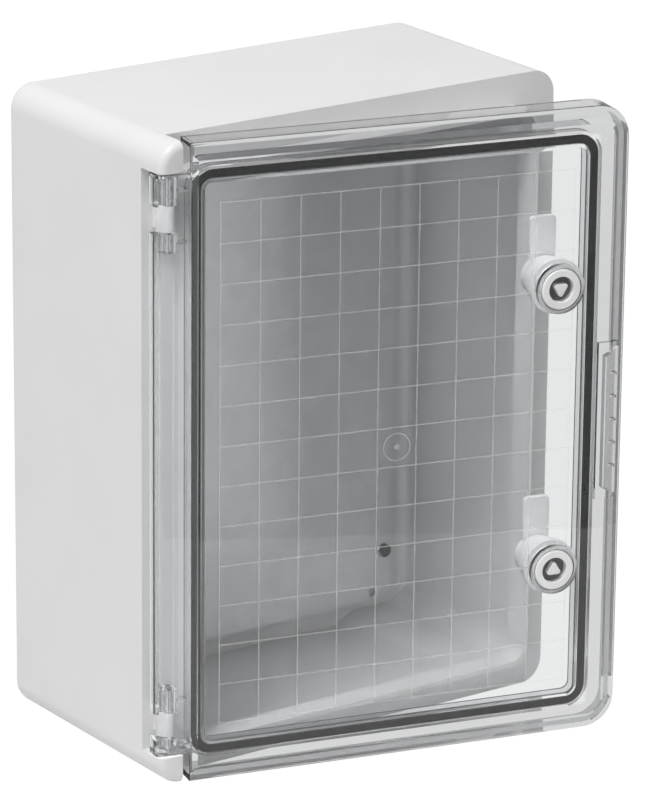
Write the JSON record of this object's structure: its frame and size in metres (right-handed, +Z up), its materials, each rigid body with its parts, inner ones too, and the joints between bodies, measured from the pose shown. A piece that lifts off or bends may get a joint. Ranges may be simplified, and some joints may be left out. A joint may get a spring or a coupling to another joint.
{
  "type": "clear door wall enclosure",
  "caption": "Grey plastic wall enclosure with a clear hinged door on pin hinges, a foam seal, quarter-turn key locks and a screwed-in steel mounting plate.",
  "frame": {"origin": "centre of the flat back of the case, which goes against the wall", "axes": "+X to the right seen from the front, +Y into the wall (the door is at -Y), +Z up"},
  "size_m": [0.3007, 0.2373, 0.4],
  "materials": {
    "case_abs": "light grey ABS, fine moulded grain",
    "clear_polycarbonate": "clear polycarbonate, polished",
    "seal_foam": "black foamed seal",
    "galvanised_steel": "galvanised sheet with faint spangle",
    "bright_steel": "bright zinc-plated steel",
    "blackened_steel": "black oxide finished steel",
    "lock_plastic": "light grey moulded plastic",
    "gasket_rubber": "black rubber"
  },
  "bodies": {
    "case": {"enclosure_body": "case_abs", "mounting_plate": "galvanised_steel", "hinge_pin_top": "bright_steel", "hinge_pin_bottom": "bright_steel", "plate_screw_top_left": "blackened_steel", "plate_screw_top_right": "blackened_steel", "plate_screw_bottom_left": "blackened_steel", "plate_screw_bottom_right": "blackened_steel", "plate_washer_top_left": "bright_steel", "plate_washer_top_right": "bright_steel", "plate_washer_bottom_left": "bright_steel", "plate_washer_bottom_right": "bright_steel"},
    "door": {"door": "clear_polycarbonate", "door_seal": "seal_foam", "lock_gasket_top": "gasket_rubber", "lock_housing_top": "lock_plastic", "lock_sleeve_top": "lock_plastic", "lock_gasket_bottom": "gasket_rubber", "lock_housing_bottom": "lock_plastic", "lock_sleeve_bottom": "lock_plastic"},
    "lock_top": {"lock_rotor_top": "lock_plastic", "lock_cam_top": "lock_plastic", "lock_cam_screw_top": "bright_steel"},
    "lock_bottom": {"lock_rotor_bottom": "lock_plastic", "lock_cam_bottom": "lock_plastic", "lock_cam_screw_bottom": "bright_steel"}
  },
  "joints": [
    {"name": "door_hinge", "type": "hinge", "parent": "case", "child": "door", "pos_m": [-0.1395, -0.158, 0], "axis": [0, 0, -1], "range_deg": [-14, 91]},
    {"name": "lock_top_turn", "type": "hinge", "parent": "door", "child": "lock_top", "pos_m": [0.09725, -0.21703, 0.0895], "axis": [-0.2419, -0.9703, 0], "range_deg": [-90, 0]},
    {"name": "lock_bottom_turn", "type": "hinge", "parent": "door", "child": "lock_bottom", "pos_m": [0.09725, -0.21703, -0.0895], "axis": [-0.2419, -0.9703, 0], "range_deg": [-90, 0]}
  ]
}
